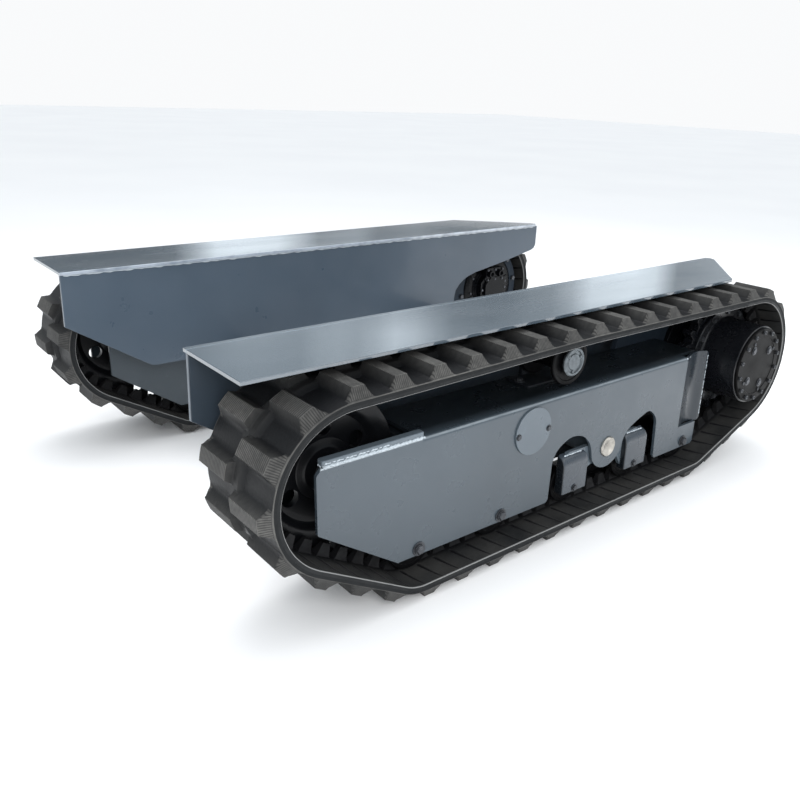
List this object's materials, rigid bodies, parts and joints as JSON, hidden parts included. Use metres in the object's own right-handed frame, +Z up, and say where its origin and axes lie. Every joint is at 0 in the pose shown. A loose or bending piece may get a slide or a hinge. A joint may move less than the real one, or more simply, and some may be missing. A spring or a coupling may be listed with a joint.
{
  "type": "tracked tank chassis",
  "caption": "Tracked undercarriage: two rubber-track units with deck plates, idlers, rollers, swinging bogies and hydraulic drives, joined by cross tubes.",
  "frame": {"origin": "on the ground, under the middle of the chassis", "axes": "+Z up, +X towards the sprockets, +Y towards the right unit"},
  "size_m": [1.7894, 1.381, 0.539],
  "materials": {
    "blue_grey_paint": "satin",
    "black_paint": "gloss",
    "dark_steel": "satin",
    "zinc_steel": "satin",
    "bright_steel": "polished",
    "track_rubber": "matte"
  },
  "bodies": {
    "chassis": {"front_cross_tube": "blue_grey_paint", "rear_cross_tube": "blue_grey_paint", "left_deck_plate": "blue_grey_paint", "left_web_plate": "blue_grey_paint", "left_frame_shell": "blue_grey_paint", "left_inner_side_plate": "blue_grey_paint", "left_rear_guard": "blue_grey_paint", "left_inspection_cover": "blue_grey_paint", "left_rubber_track": "track_rubber", "left_front_roller_axle": "zinc_steel", "left_second_roller_axle": "zinc_steel", "left_rear_roller_axle": "zinc_steel", "left_tension_cylinder": "dark_steel", "left_carrier_bracket": "dark_steel", "left_bogie_pin": "bright_steel", "left_hydraulic_motor": "black_paint", "left_drive_mount": "dark_steel", "right_deck_plate": "blue_grey_paint", "right_web_plate": "blue_grey_paint", "right_frame_shell": "blue_grey_paint", "right_inner_side_plate": "blue_grey_paint", "right_rear_guard": "blue_grey_paint", "right_inspection_cover": "blue_grey_paint", "right_rubber_track": "track_rubber", "right_front_roller_axle": "zinc_steel", "right_second_roller_axle": "zinc_steel", "right_rear_roller_axle": "zinc_steel", "right_tension_cylinder": "dark_steel", "right_carrier_bracket": "dark_steel", "right_bogie_pin": "bright_steel", "right_hydraulic_motor": "black_paint", "right_drive_mount": "dark_steel"},
    "left_drive": {"left_sprocket": "black_paint", "left_drive_hub": "black_paint", "left_end_cover": "black_paint"},
    "left_tensioner": {"left_idler_yoke": "dark_steel"},
    "left_idler": {"left_idler_wheel": "black_paint"},
    "left_carrier": {"left_carrier_roller": "black_paint", "left_carrier_cap": "zinc_steel"},
    "left_front_roller": {"left_front_roller": "black_paint"},
    "left_second_roller": {"left_second_roller": "black_paint"},
    "left_rear_roller": {"left_rear_roller": "black_paint"},
    "left_bogie": {"left_bogie_rocker": "blue_grey_paint"},
    "left_bogie_front_roller": {"left_bogie_front_roller": "black_paint"},
    "left_bogie_rear_roller": {"left_bogie_rear_roller": "black_paint"},
    "right_drive": {"right_sprocket": "black_paint", "right_drive_hub": "black_paint", "right_end_cover": "black_paint"},
    "right_tensioner": {"right_idler_yoke": "dark_steel"},
    "right_idler": {"right_idler_wheel": "black_paint"},
    "right_carrier": {"right_carrier_roller": "black_paint", "right_carrier_cap": "zinc_steel"},
    "right_front_roller": {"right_front_roller": "black_paint"},
    "right_second_roller": {"right_second_roller": "black_paint"},
    "right_rear_roller": {"right_rear_roller": "black_paint"},
    "right_bogie": {"right_bogie_rocker": "blue_grey_paint"},
    "right_bogie_front_roller": {"right_bogie_front_roller": "black_paint"},
    "right_bogie_rear_roller": {"right_bogie_rear_roller": "black_paint"}
  },
  "joints": [
    {"name": "left_drive_spin", "type": "hinge", "parent": "chassis", "child": "left_drive", "pos_m": [0.682, -0.535, 0.302], "axis": [0, 1, 0], "continuous": true},
    {"name": "left_idler_tension", "type": "slide", "parent": "chassis", "child": "left_tensioner", "axis": [1, 0, 0], "range_m": [0, 0.025]},
    {"name": "left_idler_spin", "type": "hinge", "parent": "left_tensioner", "child": "left_idler", "pos_m": [-0.69, -0.535, 0.31], "axis": [0, 1, 0], "continuous": true},
    {"name": "left_carrier_spin", "type": "hinge", "parent": "chassis", "child": "left_carrier", "pos_m": [-0.04, -0.535, 0.4224], "axis": [0, 1, 0], "continuous": true},
    {"name": "left_front_roller_spin", "type": "hinge", "parent": "chassis", "child": "left_front_roller", "pos_m": [-0.505, -0.535, 0.1005], "axis": [0, 1, 0], "continuous": true},
    {"name": "left_second_roller_spin", "type": "hinge", "parent": "chassis", "child": "left_second_roller", "pos_m": [-0.265, -0.535, 0.1005], "axis": [0, 1, 0], "continuous": true},
    {"name": "left_rear_roller_spin", "type": "hinge", "parent": "chassis", "child": "left_rear_roller", "pos_m": [0.455, -0.535, 0.1005], "axis": [0, 1, 0], "continuous": true},
    {"name": "left_bogie_swing", "type": "hinge", "parent": "chassis", "child": "left_bogie", "pos_m": [0.107, -0.535, 0.1745], "axis": [0, 1, 0], "range_deg": [-2.5, 2.5]},
    {"name": "left_bogie_front_roller_spin", "type": "hinge", "parent": "left_bogie", "child": "left_bogie_front_roller", "pos_m": [-0.013, -0.535, 0.1005], "axis": [0, 1, 0], "continuous": true},
    {"name": "left_bogie_rear_roller_spin", "type": "hinge", "parent": "left_bogie", "child": "left_bogie_rear_roller", "pos_m": [0.227, -0.535, 0.1005], "axis": [0, 1, 0], "continuous": true},
    {"name": "right_drive_spin", "type": "hinge", "parent": "chassis", "child": "right_drive", "pos_m": [0.682, 0.535, 0.302], "axis": [0, 1, 0], "continuous": true},
    {"name": "right_idler_tension", "type": "slide", "parent": "chassis", "child": "right_tensioner", "axis": [1, 0, 0], "range_m": [0, 0.025]},
    {"name": "right_idler_spin", "type": "hinge", "parent": "right_tensioner", "child": "right_idler", "pos_m": [-0.69, 0.535, 0.31], "axis": [0, 1, 0], "continuous": true},
    {"name": "right_carrier_spin", "type": "hinge", "parent": "chassis", "child": "right_carrier", "pos_m": [-0.04, 0.535, 0.4224], "axis": [0, 1, 0], "continuous": true},
    {"name": "right_front_roller_spin", "type": "hinge", "parent": "chassis", "child": "right_front_roller", "pos_m": [-0.505, 0.535, 0.1005], "axis": [0, 1, 0], "continuous": true},
    {"name": "right_second_roller_spin", "type": "hinge", "parent": "chassis", "child": "right_second_roller", "pos_m": [-0.265, 0.535, 0.1005], "axis": [0, 1, 0], "continuous": true},
    {"name": "right_rear_roller_spin", "type": "hinge", "parent": "chassis", "child": "right_rear_roller", "pos_m": [0.455, 0.535, 0.1005], "axis": [0, 1, 0], "continuous": true},
    {"name": "right_bogie_swing", "type": "hinge", "parent": "chassis", "child": "right_bogie", "pos_m": [0.107, 0.535, 0.1745], "axis": [0, 1, 0], "range_deg": [-2.5, 2.5]},
    {"name": "right_bogie_front_roller_spin", "type": "hinge", "parent": "right_bogie", "child": "right_bogie_front_roller", "pos_m": [-0.013, 0.535, 0.1005], "axis": [0, 1, 0], "continuous": true},
    {"name": "right_bogie_rear_roller_spin", "type": "hinge", "parent": "right_bogie", "child": "right_bogie_rear_roller", "pos_m": [0.227, 0.535, 0.1005], "axis": [0, 1, 0], "continuous": true}
  ],
  "couplings": [
    {"joint": "left_idler_spin", "follows": "left_drive_spin", "ratio": 1.1083},
    {"joint": "left_carrier_spin", "follows": "left_drive_spin", "ratio": 2.9333},
    {"joint": "left_front_roller_spin", "follows": "left_drive_spin", "ratio": 2.9333},
    {"joint": "left_second_roller_spin", "follows": "left_drive_spin", "ratio": 2.9333},
    {"joint": "left_rear_roller_spin", "follows": "left_drive_spin", "ratio": 2.9333},
    {"joint": "left_bogie_front_roller_spin", "follows": "left_drive_spin", "ratio": 3.2593},
    {"joint": "left_bogie_rear_roller_spin", "follows": "left_drive_spin", "ratio": 3.2593},
    {"joint": "right_idler_spin", "follows": "right_drive_spin", "ratio": 1.1083},
    {"joint": "right_carrier_spin", "follows": "right_drive_spin", "ratio": 2.9333},
    {"joint": "right_front_roller_spin", "follows": "right_drive_spin", "ratio": 2.9333},
    {"joint": "right_second_roller_spin", "follows": "right_drive_spin", "ratio": 2.9333},
    {"joint": "right_rear_roller_spin", "follows": "right_drive_spin", "ratio": 2.9333},
    {"joint": "right_bogie_front_roller_spin", "follows": "right_drive_spin", "ratio": 3.2593},
    {"joint": "right_bogie_rear_roller_spin", "follows": "right_drive_spin", "ratio": 3.2593}
  ]
}
